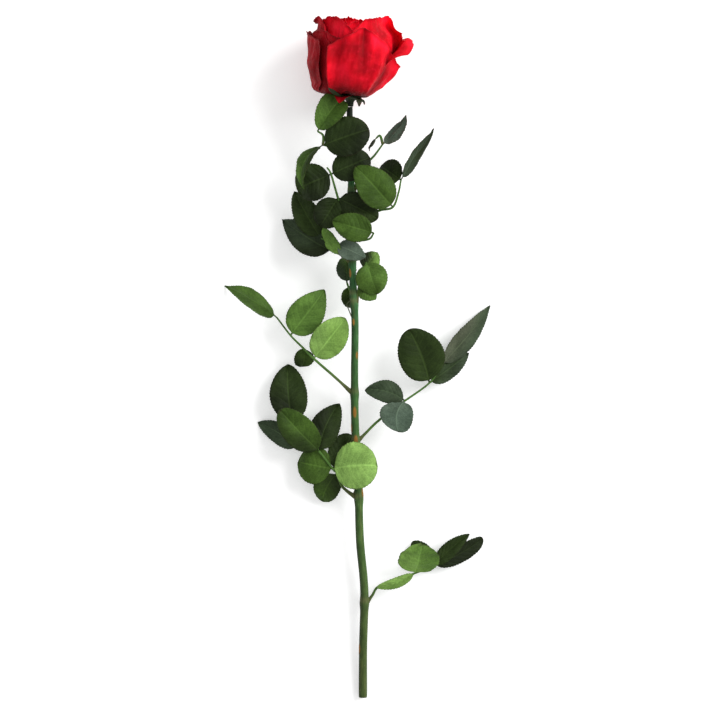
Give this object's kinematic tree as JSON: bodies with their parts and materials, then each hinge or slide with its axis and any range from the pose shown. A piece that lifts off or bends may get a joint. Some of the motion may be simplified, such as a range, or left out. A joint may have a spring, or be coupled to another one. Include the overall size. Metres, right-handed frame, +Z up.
{
  "type": "cut rose",
  "caption": "Single long-stemmed red rose, cut, lying on a table: a full bloom on a slim stem with green compound leaves",
  "frame": {"origin": "the middle of the box around the rose, on the surface that it lies on", "axes": "+Y along the stem towards the bloom, +X to the right seen from above, +Z up from the surface"},
  "size_m": [0.1984, 0.4984, 0.0713],
  "materials": {
    "petal": "velvety, deep red, fine veins and creases",
    "leaf": "satin green, paler veins, matt grey-green underside",
    "stem": "satin green bark with thorn scars",
    "sepal": "matt dark green"
  },
  "bodies": {
    "root": {"stem": "stem", "hip": "sepal", "sepal_1": "sepal", "sepal_2": "sepal", "sepal_3": "sepal", "sepal_4": "sepal", "sepal_5": "sepal", "petal_01": "petal", "petal_02": "petal", "petal_03": "petal", "petal_04": "petal", "petal_05": "petal", "petal_06": "petal", "petal_07": "petal", "petal_08": "petal", "petal_09": "petal", "petal_10": "petal", "petal_11": "petal", "petal_12": "petal", "petal_13": "petal", "petal_14": "petal", "petal_15": "petal", "petal_16": "petal", "petal_17": "petal", "petal_18": "petal", "petal_19": "petal", "petal_20": "petal", "petal_21": "petal", "petal_22": "petal", "petal_23": "petal", "petal_24": "petal", "petal_25": "petal", "petal_26": "petal", "petal_27": "petal", "leaf_01": "leaf", "leaf_02": "leaf", "leaf_03": "leaf", "leaf_04": "leaf", "leaf_05": "leaf", "leaf_06": "leaf", "leaf_07": "leaf", "leaf_08": "leaf", "leaf_09": "leaf", "leaf_10": "leaf", "leaf_11": "leaf", "leaf_12": "leaf"}
  },
  "joints": []
}
